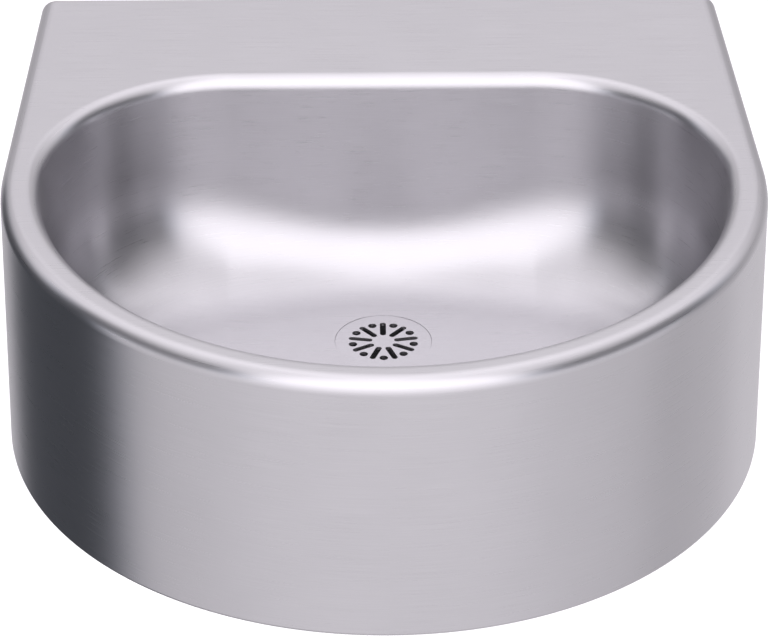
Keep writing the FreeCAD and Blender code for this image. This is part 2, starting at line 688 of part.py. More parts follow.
def make_waste_body():
    """Make the waste: a flange flush with the floor, its ring of slots and holes, and the threaded tail."""
    body = new_body("waste")
    profile = sketch_on(body, "waste_profile", "XZ_Plane", z="drain_to_wall")
    tail_end = FLOOR + " - flange_thickness - tail_length"
    polygon(profile, [
        ("0", FLOOR),
        ("flange_diameter / 2", FLOOR),
        ("flange_diameter / 2", FLOOR + " - flange_thickness"),
        ("tail_diameter / 2", FLOOR + " - flange_thickness"),
        ("tail_diameter / 2", tail_end),
        ("tail_bore / 2", tail_end),
        ("tail_bore / 2", FLOOR + " - flange_thickness"),
        ("0", FLOOR + " - flange_thickness"),
    ])
    revolve("Revolution", body, "waste_turned", profile)

    slot = sketch_on(body, "slot_outline", "XY_Plane", y="-drain_to_wall", z=FLOOR)
    start = Vector(0, SIZES["slot_start"], 0)
    end = Vector(0, SIZES["slot_end"], 0)
    half = Vector(SIZES["slot_width"] / 2, 0, 0)
    drop = Vector(0, SIZES["slot_width"] / 2, 0)
    right = slot.addGeometry(Part.LineSegment(start + half + drop, end + half - drop), False)
    tip = slot.addGeometry(Part.Arc(end + half - drop, end, end - half - drop), False)
    left = slot.addGeometry(Part.LineSegment(end - half - drop, start - half + drop), False)
    root = slot.addGeometry(Part.Arc(start - half + drop, start, start + half + drop), False)
    for first, second in ((right, tip), (tip, left), (left, root), (root, right)):
        slot.addConstraint(Sketcher.Constraint("Tangent", first, 2, second, 1))
    slot.addConstraint(Sketcher.Constraint("Vertical", right))
    slot.addConstraint(Sketcher.Constraint("PointOnObject", tip, 3, -2))
    measure(slot, "half_width", "slot_width / 2", "Radius", tip, half.x)
    measure(slot, "first", "slot_start + slot_width / 2", "DistanceY", -1, 1, root, 3, start.y)
    measure(slot, "last", "slot_end - slot_width / 2", "DistanceY", -1, 1, tip, 3, end.y)
    cut_slot = pocket_down(body, "slot", slot)
    dot = sketch_on(body, "dot_outline", "XY_Plane", y="-drain_to_wall", z=FLOOR)
    circle(dot, "dot", "dot_diameter", "0", "-dot_ring")
    cut_dot = pocket_down(body, "dot", dot)
    polar = copies("PolarPattern", body, "ring_of_slots", [cut_slot, cut_dot], Angle=360.0,
                   Axis=(slot, ["N_Axis"]))
    bind(polar, "Occurrences", "slot_count")
    document.recompute()
    sub_part(body, "waste_body")


def pocket_down(body, name, sketch):
    """Cut a sketch on the flange's top face down through the flange."""
    before = body.Shape.Volume
    feature = body.newObject("PartDesign::Pocket", name)
    feature.Profile = sketch
    bind(feature, "Length", "flange_thickness")
    document.recompute()
    if not feature.Shape.Volume < before:
        raise RuntimeError("%s cuts nothing" % name)
    return feature


def ring_on_tail(name, outer, thickness, top):
    """Make a flat ring round the waste's tail, downwards from its top face."""
    body = new_body(name + "_ring")
    sketch = sketch_on(body, name + "_outline", "XY_Plane", y="-drain_to_wall", z=top)
    circle(sketch, "outer", outer)
    circle(sketch, "inner", "tail_diameter + 2 * tail_clearance")
    pad(body, name + "_disc", sketch, thickness, downwards=True)
    return sub_part(body, name)


def make_waste_seals():
    """Make the gasket under the flange and what clamps the waste from below."""
    ring_on_tail("waste_gasket", "flange_diameter", "gasket_thickness", FLOOR + " - flange_thickness")
    ring_on_tail("waste_rubber_washer", "washer_diameter", "rubber_thickness", RECESS_UNDERSIDE)
    ring_on_tail("waste_slip_washer", "washer_diameter", "slip_thickness",
                 RECESS_UNDERSIDE + " - rubber_thickness")
    nut_foot = RECESS_UNDERSIDE + " - rubber_thickness - slip_thickness - backnut_thickness"
    nut = hex_nut("backnut", "backnut_flats", "(tail_diameter + thread_clearance)", "backnut_thickness",
                  ("0", "-drain_to_wall", nut_foot), Rotation())
    sub_part(nut, "waste_backnut")


# ---------------------------------------------------------------- earth connection

def make_earth_set():
    """Make the earth tag welded under the ledge, with its screw, washers and nut."""
    tag = new_body("tag")
    profile = sketch_on(tag, "tag_profile", "YZ_Plane", z=TAG_ACROSS)
    polygon(profile, [
        ("-tag_from_wall", UNDER_LEDGE),
        ("-" + TAG_FACE, UNDER_LEDGE),
        ("-" + TAG_FACE, UNDER_LEDGE + " - tag_drop"),
        ("tag_thickness - " + TAG_FACE, UNDER_LEDGE + " - tag_drop"),
        ("tag_thickness - " + TAG_FACE, UNDER_LEDGE + " - tag_thickness"),
        ("-tag_from_wall", UNDER_LEDGE + " - tag_thickness"),
    ])
    pad(tag, "tag_angle", profile, "tag_width", both_ways=True)
    hole = sketch_on(tag, "tag_hole_outline", "XZ_Plane")
    circle(hole, "hole", "screw_hole", TAG_ACROSS, EARTH_HEIGHT)
    pocket_through(tag, "tag_hole", hole)
    sub_part(tag, "earth_tag")

    body = ring_along_y("star_washer", "small_washer_diameter - star_thickness", "screw_hole",
                        "star_thickness", TAG_ACROSS, TAG_FACE + " + star_thickness", EARTH_HEIGHT)[0]
    tooth = sketch_on(body, "tooth_outline", "XZ_Plane", x=TAG_ACROSS, y=EARTH_HEIGHT,
                      z=TAG_FACE + " + star_thickness")
    polygon(tooth, [
        ("-star_thickness", "screw_diameter - 2 * star_thickness"),
        ("star_thickness", "screw_diameter - 2 * star_thickness"),
        ("star_thickness", "screw_diameter + star_thickness / 2"),
        ("-star_thickness", "screw_diameter + star_thickness / 2"),
    ])
    one_tooth = pad(body, "tooth", tooth, "star_thickness", downwards=True)
    teeth = copies("PolarPattern", body, "teeth", [one_tooth], Angle=360.0, Axis=(tooth, ["N_Axis"]))
    bind(teeth, "Occurrences", "star_teeth")
    document.recompute()
    sub_part(body, "earth_star_washer")

    body = socket_screw("earth_bolt", "earth_length", TAG_ACROSS,
                        "(%s + star_thickness)" % TAG_FACE, EARTH_HEIGHT)[0]
    sub_part(body, "earth_screw")
    back = TAG_FACE + " - tag_thickness"
    body = ring_along_y("earth_plain_ring", "small_washer_diameter", "screw_hole", "washer_thickness",
                        TAG_ACROSS, back, EARTH_HEIGHT)[0]
    sub_part(body, "earth_washer")
    nut = hex_nut("earth_hexagon", "nut_flats", "(screw_diameter + thread_clearance)", "nut_thickness",
                  (TAG_ACROSS, "-(%s - washer_thickness)" % back, EARTH_HEIGHT),
                  Rotation(Vector(1, 0, 0), -90))
    sub_part(nut, "earth_nut")


# ---------------------------------------------------------------- damping

def make_damping():
    """Make the pad glued under the front half of the floor and the strip glued under the ledge."""
    body = new_body("floor_pad")
    profile = sketch_on(body, "floor_pad_profile", "XZ_Plane", z="drain_to_wall")
    radius = SIZES["dish_radius"]
    centre = Vector(0, SIZES["rim_height"] - SIZES["bowl_depth"] + radius, 0)
    reach = (SIZES["pad_inner"], SIZES["pad_outer"])

    def on_dish(across, more):
        return Vector(across, centre.y - ((radius + more) ** 2 - across ** 2) ** 0.5, 0)

    def dish_arc(more, ends):
        middle = on_dish(sum(reach) / 2, more)
        return profile.addGeometry(Part.Arc(on_dish(ends[0], more), middle, on_dish(ends[1], more)), False)

    top_gap = SIZES["sheet_thickness"] + SIZES["pad_gap"]
    foot_gap = top_gap + SIZES["pad_thickness"]
    top = dish_arc(top_gap, reach)
    foot = dish_arc(foot_gap, reach)
    inner = profile.addGeometry(
        Part.LineSegment(on_dish(reach[0], top_gap), on_dish(reach[0], foot_gap)), False)
    outer = profile.addGeometry(
        Part.LineSegment(on_dish(reach[1], top_gap), on_dish(reach[1], foot_gap)), False)
    for line, end, arc, start in ((inner, 1, top, 1), (inner, 2, foot, 1),
                                  (outer, 1, top, 2), (outer, 2, foot, 2)):
        profile.addConstraint(Sketcher.Constraint("Coincident", line, end, arc, start))
    for line in (inner, outer):
        profile.addConstraint(Sketcher.Constraint("Vertical", line))
    profile.addConstraint(Sketcher.Constraint("PointOnObject", top, 3, -2))
    profile.addConstraint(Sketcher.Constraint("Coincident", top, 3, foot, 3))
    measure(profile, "centre", FLOOR + " + dish_radius", "DistanceY", -1, 1, top, 3, centre.y)
    measure(profile, "top", "dish_radius + sheet_thickness + pad_gap", "Radius", top, radius + top_gap)
    measure(profile, "foot", "dish_radius + sheet_thickness + pad_gap + pad_thickness",
            "Radius", foot, radius + foot_gap)
    measure(profile, "inner", "pad_inner", "DistanceX", -1, 1, inner, 1, reach[0])
    measure(profile, "outer", "pad_outer", "DistanceX", -1, 1, outer, 1, reach[1])
    half_turn = revolve("Revolution", body, "floor_pad_half_ring", profile, 180.0)
    if half_turn.Shape.BoundBox.YMax > 1 - SIZES["drain_to_wall"]:
        half_turn.Reversed = True
        document.recompute()
    sub_part(body, "bowl_damping_pad")

    strip = primitive(
        "Box", "ledge_strip",
        {"Length": "strip_length", "Width": "strip_width", "Height": "pad_thickness"},
        ("-strip_length / 2", "-strip_from_wall - strip_width", UNDER_LEDGE + " - pad_thickness"))
    document.recompute()
    sub_part(strip, "ledge_damping_strip")


# ---------------------------------------------------------------- checks and files

def check_document():
    """Stop if any object failed to compute, or if a sub-part has no valid solid."""
    document.recompute()
    for item in document.Objects:
        if "Invalid" in item.State or "Error" in item.State:
            raise RuntimeError("%s did not compute: %s" % (item.Label, item.State))
    for item in sub_parts:
        if item.Shape.isNull() or not item.Shape.isValid() or not item.Shape.Solids:
            raise RuntimeError("%s is not a valid solid" % item.Label)


def write_parts():
    """Write each sub-part to its own STEP file."""
    os.makedirs("parts", exist_ok=True)
    for item in sub_parts:
        item.Shape.exportStep("parts/%s.step" % item.Label)
        print("%-22s %d solid(s) %10.1f mm3" % (item.Label, len(item.Shape.Solids), item.Shape.Volume))


make_sheet()
make_basin()
make_fixing_lugs()
make_rear_rail()
make_wall_bracket()
make_locking_set()
make_ledge_stiffener()
make_waste_body()
make_waste_seals()
make_earth_set()
make_damping()
check_document()
write_parts()
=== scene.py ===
"""A wall-hung hand wash basin in satin stainless steel, dressed round its packed construction.

The frame is the construction's own, in metres: +Z up, +Y into the wall, the wall's face at Y = 0.
The origin is the middle of the four holes that hold the hidden bracket.
"""
import json
from math import atan2, cos, hypot, pi, radians, sin, sqrt, tan

import bmesh
import bpy
from bpy.props import FloatProperty, FloatVectorProperty, PointerProperty
from mathutils import Matrix, Vector


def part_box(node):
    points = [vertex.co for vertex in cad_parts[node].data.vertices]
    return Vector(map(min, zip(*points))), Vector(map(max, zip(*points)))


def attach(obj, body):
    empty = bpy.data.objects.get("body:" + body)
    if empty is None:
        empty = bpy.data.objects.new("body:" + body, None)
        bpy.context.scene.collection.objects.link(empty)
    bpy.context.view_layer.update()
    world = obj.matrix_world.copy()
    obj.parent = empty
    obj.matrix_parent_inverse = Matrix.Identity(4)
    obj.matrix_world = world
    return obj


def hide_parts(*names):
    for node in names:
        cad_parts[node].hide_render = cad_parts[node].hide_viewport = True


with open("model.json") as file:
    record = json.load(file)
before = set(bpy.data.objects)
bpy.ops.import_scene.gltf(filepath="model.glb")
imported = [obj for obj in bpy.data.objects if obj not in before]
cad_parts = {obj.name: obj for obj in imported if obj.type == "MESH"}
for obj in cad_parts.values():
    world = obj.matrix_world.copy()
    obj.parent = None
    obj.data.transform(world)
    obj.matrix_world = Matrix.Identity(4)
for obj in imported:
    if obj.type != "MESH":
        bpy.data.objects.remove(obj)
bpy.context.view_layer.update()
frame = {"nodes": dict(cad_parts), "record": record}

bl_info = {
    "name": "Hand wash basin",
    "version": (1, 0, 0),
    "blender": (4, 5, 0),
    "location": "View3D > Sidebar > Basin",
    "description": "Builds the basin's steel skin, waste, fixings and studio round the packed frame",
    "category": "Object",
}

BODY = "root"
MM = 0.001
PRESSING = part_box("bowl_pressing")
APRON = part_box("apron_band")
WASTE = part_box("waste_body")
RIM = PRESSING[1].z
LOWER_EDGE = APRON[0].z
FRONT_RADIUS = PRESSING[1].x
FRONT_CENTRE = Vector((0, PRESSING[0].y + FRONT_RADIUS, 0))
DRAIN = Vector((0, (WASTE[0].y + WASTE[1].y) / 2, WASTE[1].z))
SAME_POINT = 0.001 * MM     # vertices nearer than this are one


# ---------------------------------------------------------------- colours and small helpers

def linear(hex_colour):
    """Turn an sRGB hex value such as "8a8d90" into the linear colour that a shader takes."""
    def channel(value):
        return value / 12.92 if value <= 0.04045 else ((value + 0.055) / 1.055) ** 2.4
    return tuple(channel(int(hex_colour[at:at + 2], 16) / 255) for at in (0, 2, 4)) + (1.0,)


def length(name, text, default):
    """Declare a length in metres."""
    return FloatProperty(name=name, description=text, default=default, unit="LENGTH", precision=5)


def tint(name, text, hex_colour):
    """Declare a finish's colour."""
    return FloatVectorProperty(name=name, description=text, default=linear(hex_colour), size=4,
                               subtype="COLOR", min=0.0, max=1.0)


# ---------------------------------------------------------------- settings

class BasinSizes(bpy.types.PropertyGroup):
    """Sizes of the basin's steel skin: the construction's own, apart from the floor fillet."""
    side_taper: FloatProperty(name="Side taper", description="Each side draws in towards the wall",
                              default=radians(3.8), subtype="ANGLE")
    sheet: length("Sheet", "Thickness of the steel", 1.2 * MM)
    outer_roll: length("Outer roll", "Outside radius between rim and apron", 8.5 * MM)
    back_bend: length("Back bend", "Outside radius along the wall", 3.0 * MM)
    lip_bend: length("Lip bend", "Outside radius at the lower edge", 2.2 * MM)
    lip_width: length("Lip width", "Lower edge turned in by this much", 12.0 * MM)
    return_width: length("Return width", "Apron ends turned in along the wall", 22.0 * MM)
    window_top: length("Window top", "Height of the open back's upper edge", 34.0 * MM)
    rim_width: length("Rim width", "Apron face to bowl wall", 20.0 * MM)
    ledge_depth: length("Ledge depth", "Wall to bowl wall", 93.0 * MM)
    opening_corner: length("Opening corner", "Plan radius of the bowl's back corners", 100.0 * MM)
    mouth_roll: length("Mouth roll", "Radius between ledge and bowl wall", 8.0 * MM)
    bowl_draft: FloatProperty(name="Bowl draft", description="The bowl's wall leans out by this angle",
                              default=radians(3.0), subtype="ANGLE")
    # The construction's fillet is the same all round. This one grows towards the back corners.
    floor_fillet: length("Floor fillet", "Radius between the middle of the back wall and the floor",
                         42.0 * MM)
    fillet_growth: length("Fillet growth", "The radius grows by this much towards the corners",
                          22.0 * MM)
    growth_reach: length("Growth reach", "Where the radius stops growing, from the middle", 112.0 * MM)
    dish_radius: length("Dish radius", "The floor falls to the waste as a dish of this radius", 1.6)
    recess_clearance: length("Recess clearance", "Seam round the waste's flange", 0.1 * MM)
    recess_depth: length("Recess depth", "Floor to the bottom of the waste's recess", 3.5 * MM)
    waste_hole: length("Waste hole", "Radius of the hole under the waste's gasket", 21.35 * MM)


class BasinFinish(bpy.types.PropertyGroup):
    """Colours of the finishes."""
    satin: tint("Satin steel", "Polished and brushed skin", "cdcccf")
    mill: tint("Mill steel", "Rolled 2B sheet of the hidden fittings", "a6a6a9")
    bright: tint("Bright steel", "Machined fasteners", "c6c6c8")
    rubber: tint("Rubber", "Seals", "1d1d1e")
    bitumen: tint("Bitumen", "Damping sheet", "232220")
    polythene: tint("Polythene", "Slip washer", "dcdcd6")
    brass: tint("Brass", "Backnut", "c9a35c")
    # The bore's dark colour is painted shade inside the waste.
    bore: tint("Bore", "Inside of the waste", "35363a")
    floor: tint("Floor", "Studio floor", "f4f4f4")


class BasinStudio(bpy.types.PropertyGroup):
    """The camera, placed from the front centre of the lower edge, and the floor's drop."""
    lens: FloatProperty(name="Lens", description="Focal length on a 36 mm sensor", default=220.27)
    elevation: FloatProperty(name="Elevation", description="Camera's tilt", default=radians(32.03),
                             subtype="ANGLE")
    turn: FloatProperty(name="Turn", description="Basin's turn in front of the camera",
                        default=radians(0.953), subtype="ANGLE")
    roll: FloatProperty(name="Roll", description="Camera's roll", default=radians(-0.117),
                        subtype="ANGLE")
    distance: length("Distance", "Camera to the aim point", 2.530)
    rise: length("Rise", "Aim point above the lower edge, along the picture's upright", 0.05382)
    floor_drop: length("Floor drop", "Floor below the basin's lower edge", 0.60)


# ---------------------------------------------------------------- materials

def add_node(material, kind, inputs=None, **settings):
    """Add a node to a material or world, set it up and link its inputs."""
    tree = material.node_tree
    node = tree.nodes.new(kind)
    for name, value in settings.items():
        setattr(node, name, value)
    for name, value in (inputs or {}).items():
        if isinstance(value, bpy.types.NodeSocket):
            tree.links.new(value, node.inputs[name])
        else:
            node.inputs[name].default_value = value
    return node


def new_material(name, colour, roughness, metallic=0.0):
    """Start a material with its shader; its patterns are linked to the shader afterwards."""
    material = bpy.data.materials.new(name)
    material.use_nodes = True
    shader = material.node_tree.nodes["Principled BSDF"]
    shader.inputs["Base Color"].default_value = tuple(colour)
    shader.inputs["Roughness"].default_value = roughness
    shader.inputs["Metallic"].default_value = metallic
    return material, shader


def link(material, socket_from, socket_to):
    """Link a node's output to an input that was there before it."""
    material.node_tree.links.new(socket_from, socket_to)


# ---------------------------------------------------------------- mesh helpers

def finish_piece(bm, name, material, modifiers=(), sharp=35.0, replaced=(), slot=None):
    """Turn a bmesh into a finished piece that rides on the basin."""
    mesh = bpy.data.meshes.new(name)
    bm.to_mesh(mesh)
    bm.free()
    piece = bpy.data.objects.new(name, mesh)
    bpy.context.scene.collection.objects.link(piece)
    for kind, settings in modifiers:
        modifier = piece.modifiers.new(kind.title(), kind)
        for key, value in settings.items():
            setattr(modifier, key, value)
    if modifiers:
        shaped = piece.evaluated_get(bpy.context.evaluated_depsgraph_get())
        solid = bpy.data.meshes.new_from_object(shaped)
        piece.modifiers.clear()
        piece.data = solid
        bpy.data.meshes.remove(mesh)
        solid.name = name
    piece.data.shade_smooth()
    piece.data.set_sharp_from_angle(angle=radians(sharp))
    piece.data.materials.clear()
    piece.data.materials.append(material)
    piece.modifiers.new("Weighted normals", "WEIGHTED_NORMAL").keep_sharp = True
    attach(piece, BODY)
    if replaced:
        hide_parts(*replaced)
    return piece


def start_line(bm, points):
    """Start a sheet with an open line of vertices."""
    verts = [bm.verts.new(point) for point in points]
    for first, second in zip(verts, verts[1:]):
        bm.edges.new((first, second))
    return verts


def extrude_line(bm, verts, points):
    """Extrude an open line of vertices once and move the new line to its points."""
    edges = [bm.edges.get(pair) for pair in zip(verts, verts[1:])]
    made = set(bmesh.ops.extrude_edge_only(bm, edges=edges)["geom"])
    line = []
    for vert, point in zip(verts, points):
        twin = next(edge.other_vert(vert) for edge in vert.link_edges if edge.other_vert(vert) in made)
        twin.co = point
        line.append(twin)
    return line


# ---------------------------------------------------------------- the steel skin

class SkinPlan:
    """The right half of the basin's plan, from the middle of the back round to the front's."""
    BACK = 10               # steps along the straight of the bowl's back
    CORNER = 16             # steps along each half of the bowl's back corner
    RETURN = 4              # steps across the apron's return, the last of the corner's first half
    BEND = 6                # steps round the upright bend at the wall, and more at the bowl's corner
    FRONT = 56              # steps round the front
    LIP = 5                 # steps round the bend at the lower edge
    UPRIGHT = 5             # steps up the apron to the top of the open back
    ROLL = 12               # steps over the outer roll, and as many over the mouth roll
    WALL = 6                # steps down the bowl's wall
    FILLET = 16             # steps round the floor fillet
    FLOOR = 18              # steps across the floor to the waste
    FLOOR_CURVE = 0.8       # below 1, the floor's steps draw closer towards the waste
    GROWTH_CURVE = 2.2      # above 1, the fillet grows late, near the corners
    SETTLING = 6            # corrections of the height of the fillet's centre

    def __init__(self, sizes):
        self.sizes = sizes
        self.bowl_radius = FRONT_RADIUS - sizes.rim_width
        back = -FRONT_CENTRE.y - sizes.ledge_depth - sizes.opening_corner
        reach = self.bowl_radius - sizes.opening_corner
        self.corner = Vector((sqrt(reach ** 2 - back ** 2), FRONT_CENTRE.y + back, 0))
        self.corner_angle = atan2(back, self.corner.x)

    def outside(self, inset, back_inset, height):
        """The line inside the basin's outline by an inset, with its own inset at the wall."""
        taper = self.sizes.side_taper
        along = Vector((-sin(taper), cos(taper), 0))
        side = Vector((cos(taper), sin(taper), 0))
        touch = FRONT_CENTRE + side * (FRONT_RADIUS - inset)
        bend = self.sizes.back_bend
        pivot = FRONT_CENTRE + side * (FRONT_RADIUS - inset - bend)
        pivot += along * ((-back_inset - bend - pivot.y) / along.y)
        window = Vector((self.half_window(), -back_inset, 0))
        split = Vector((self.corner.x, -back_inset, 0))
        turned_in = pivot + Vector((0, bend, 0))
        stops = ((Vector((0, -back_inset, 0)), split, self.BACK),
                 (split, window, self.CORNER - self.RETURN), (window, turned_in, self.RETURN))
        line = [start.lerp(end, step / count) for start, end, count in stops for step in range(count)]
        for step in range(self.BEND):
            angle = pi / 2 + (taper - pi / 2) * step / self.BEND
            line.append(pivot + Vector((cos(angle), sin(angle), 0)) * bend)
        line += [(pivot + side * bend).lerp(touch, step / self.CORNER) for step in range(self.CORNER)]
        for step in range(self.FRONT + 1):
            angle = taper - (taper + pi / 2) * step / self.FRONT
            line.append(FRONT_CENTRE + Vector((cos(angle), sin(angle), 0)) * (FRONT_RADIUS - inset))
        return [Vector((point.x, point.y, height)) for point in line]

    def half_window(self):
        """Half the width of the open back, between the apron's returns."""
        taper = self.sizes.side_taper
        half_back = FRONT_RADIUS / cos(taper) + FRONT_CENTRE.y * tan(taper)
        return half_back - self.sizes.return_width

    def mouth(self):
        """The bowl's opening at the rim, as pairs of a point and the direction out of the bowl."""
        line = []
        for step in range(self.BACK):
            across = self.corner.x * step / self.BACK
            line.append((Vector((across, -self.sizes.ledge_depth, 0)), Vector((0, 1, 0))))
        steps = 2 * self.CORNER + self.BEND
        for step in range(steps):
            angle = pi / 2 + (self.corner_angle - pi / 2) * step / steps
            out = Vector((cos(angle), sin(angle), 0))
            line.append((self.corner + out * self.sizes.opening_corner, out))
        for step in range(self.FRONT + 1):
            angle = self.corner_angle - (self.corner_angle + pi / 2) * step / self.FRONT
            out = Vector((cos(angle), sin(angle), 0))
            line.append((FRONT_CENTRE + out * self.bowl_radius, out))
        return line


def arc_steps(count, sweep=pi / 2):
    """The angles at the ends of an arc's steps."""
    return [sweep * step / count for step in range(1, count + 1)]


def apron_lines(plan):
    """Lines from the inner edge of the lower lip, up the apron and over the outer roll to the ledge."""
    sizes = plan.sizes
    bend, roll = sizes.lip_bend, sizes.outer_roll
    yield plan.outside(sizes.lip_width, sizes.lip_width, LOWER_EDGE)
    yield plan.outside(bend, 0, LOWER_EDGE)
    for turn in arc_steps(plan.LIP):
        yield plan.outside(bend * (1 - sin(turn)), 0, LOWER_EDGE + bend * (1 - cos(turn)))
    start, shoulder = LOWER_EDGE + bend, RIM - roll
    for step in range(1, plan.UPRIGHT + 1):
        yield plan.outside(0, 0, start + (sizes.window_top - start) * step / plan.UPRIGHT)
    yield plan.outside(0, 0, shoulder)
    bend = sizes.back_bend
    for turn in arc_steps(plan.ROLL):
        lift = roll * sin(turn)
        over = max(0.0, lift - roll + bend)
        yield plan.outside(roll * (1 - cos(turn)), bend - sqrt(max(0.0, bend ** 2 - over ** 2)),
                           shoulder + lift)


def bowl_lines(plan):
    """Lines from the ledge over the mouth roll, down the wall and across the floor into the recess."""
    sizes = plan.sizes
    draft, roll = sizes.bowl_draft, sizes.mouth_roll
    mouth = plan.mouth()
    radii = []      # the fillet's, which grow along the back and shrink again along the sides
    for point, _ in mouth:
        spread = sin(min(1.0, point.x / sizes.growth_reach) * pi / 2) ** plan.GROWTH_CURVE
        forward = min(1.0, max(0.0, (-sizes.ledge_depth - point.y) / (2 * sizes.opening_corner)))
        spread *= 1 - forward ** 2 * (3 - 2 * forward)
        radii.append(sizes.floor_fillet + sizes.fillet_growth * spread)

    def offset_line(grow, height):
        return [Vector((point.x + out.x * grow, point.y + out.y * grow, height))
                for point, out in mouth]

    centre = roll / cos(draft) - roll * tan(draft)
    yield offset_line(centre, RIM)
    for turn in arc_steps(plan.ROLL, pi / 2 - draft):
        yield offset_line(centre - roll * sin(turn), RIM - roll + roll * cos(turn))

    dish_centre = Vector((0, DRAIN.y, DRAIN.z + sizes.dish_radius))
    balls = []
    for (point, out), ball in zip(mouth, radii):
        low = DRAIN.z + ball
        for _ in range(plan.SETTLING):
            grow = -(RIM - low) * tan(draft) - ball / cos(draft)
            place = point + out * grow
            reach = hypot(place.x - dish_centre.x, place.y - dish_centre.y)
            low = dish_centre.z - sqrt((sizes.dish_radius - ball) ** 2 - reach ** 2)
        balls.append(Vector((place.x, place.y, low)))
    to_wall = [Vector((out.x * cos(draft), out.y * cos(draft), -sin(draft))) for _, out in mouth]
    to_floor = [(place - dish_centre).normalized() for place in balls]

    top = offset_line(centre - roll * sin(pi / 2 - draft), RIM - roll + roll * cos(pi / 2 - draft))
    foot = [place + out * ball for place, out, ball in zip(balls, to_wall, radii)]
    for step in range(1, plan.WALL + 1):
        yield [high.lerp(low, step / plan.WALL) for high, low in zip(top, foot)]
    for step in range(1, plan.FILLET + 1):
        yield [place + wall.slerp(floor, step / plan.FILLET) * ball
               for place, wall, floor, ball in zip(balls, to_wall, to_floor, radii)]

    edge = [place + out * ball for place, out, ball in zip(balls, to_floor, radii)]
    flange = WASTE[1].x + sizes.recess_clearance
    rays = [(point.xy - DRAIN.xy).normalized() for point in edge]
    for step in range(1, plan.FLOOR + 1):
        line = []
        for point, ray in zip(edge, rays):
            reach = (point.xy - DRAIN.xy).length
            reach += (flange - reach) * (step / plan.FLOOR) ** plan.FLOOR_CURVE
            fall = sizes.dish_radius - sqrt(sizes.dish_radius ** 2 - reach ** 2)
            line.append(Vector((ray.x * reach, DRAIN.y + ray.y * reach, DRAIN.z + fall)))
        yield line
    for radius, drop in ((flange, sizes.recess_depth), (sizes.waste_hole, sizes.recess_depth)):
        yield [Vector((ray.x * radius, DRAIN.y + ray.y * radius, DRAIN.z - drop)) for ray in rays]


def lower_fixing_drills():
    """Make the two drills for the lower wall fixings, through the apron's returns."""
    mount = next(mount for mount in frame["record"]["mounts"] if mount["name"] == "lower_fixings")
    radius, span = mount["dims"]["hole_r_mm"] * MM, mount["dims"]["spacing_x_mm"] * MM
    through = 12 * MM
    bm = bmesh.new()
    for side in (-1, 1):
        made = bmesh.ops.create_cone(bm, cap_ends=True, segments=32, radius1=radius, radius2=radius,
                                     depth=through)
        bmesh.ops.rotate(bm, verts=made["verts"], matrix=Matrix.Rotation(pi / 2, 3, "X"))
        bmesh.ops.translate(bm, verts=made["verts"], vec=(side * span / 2, 0, mount["pos_m"][2]))
    mesh = bpy.data.meshes.new("drills")
    bm.to_mesh(mesh)
    bm.free()
    drills = bpy.data.objects.new("drills", mesh)
    bpy.context.scene.collection.objects.link(drills)
    return drills


class BASIN_OT_steel_skin(bpy.types.Operator):
    """Model bowl, ledge and apron as one sheet, whose butt weld is ground flush and polished away."""
    bl_idname = "basin.steel_skin"
    bl_label = "Steel skin"

    def execute(self, context):
        sizes = context.scene.basin_sizes
        plan = SkinPlan(sizes)
        bm = bmesh.new()
        lines = [*apron_lines(plan), *bowl_lines(plan)]
        verts = start_line(bm, lines[0])
        for points in lines[1:]:
            verts = extrude_line(bm, verts, points)
        window = [face for face in bm.faces
                  if face.calc_center_median().x < plan.half_window()
                  and face.calc_center_median().y > -sizes.lip_width
                  and face.calc_center_median().z < sizes.window_top]
        bmesh.ops.delete(bm, geom=window, context="FACES")
        bmesh.ops.mirror(bm, geom=bm.verts[:] + bm.edges[:] + bm.faces[:], matrix=Matrix.Identity(4),
                         merge_dist=SAME_POINT, axis="X")
        bmesh.ops.remove_doubles(bm, verts=bm.verts, dist=SAME_POINT)
        bmesh.ops.recalc_face_normals(bm, faces=bm.faces)
        level = [face for face in bm.faces if face.calc_center_median().z > RIM - MM]
        ledge = max(level, key=lambda face: face.calc_area())
        if ledge.normal.z < 0:
            bmesh.ops.reverse_faces(bm, faces=bm.faces)
        thicken = ("SOLIDIFY", {"thickness": sizes.sheet, "offset": -1.0, "use_even_offset": True,
                                "use_quality_normals": True})
        drills = lower_fixing_drills()
        drill = ("BOOLEAN", {"object": drills, "operation": "DIFFERENCE", "solver": "EXACT"})
        finish_piece(bm, "steel_skin", satin_steel(context.scene.basin_finish), [thicken, drill],
                     sharp=40.0, replaced=("bowl_pressing", "apron_band"), slot="satin_steel")
        bpy.data.meshes.remove(drills.data)
        return {"FINISHED"}


# ---------------------------------------------------------------- finishes

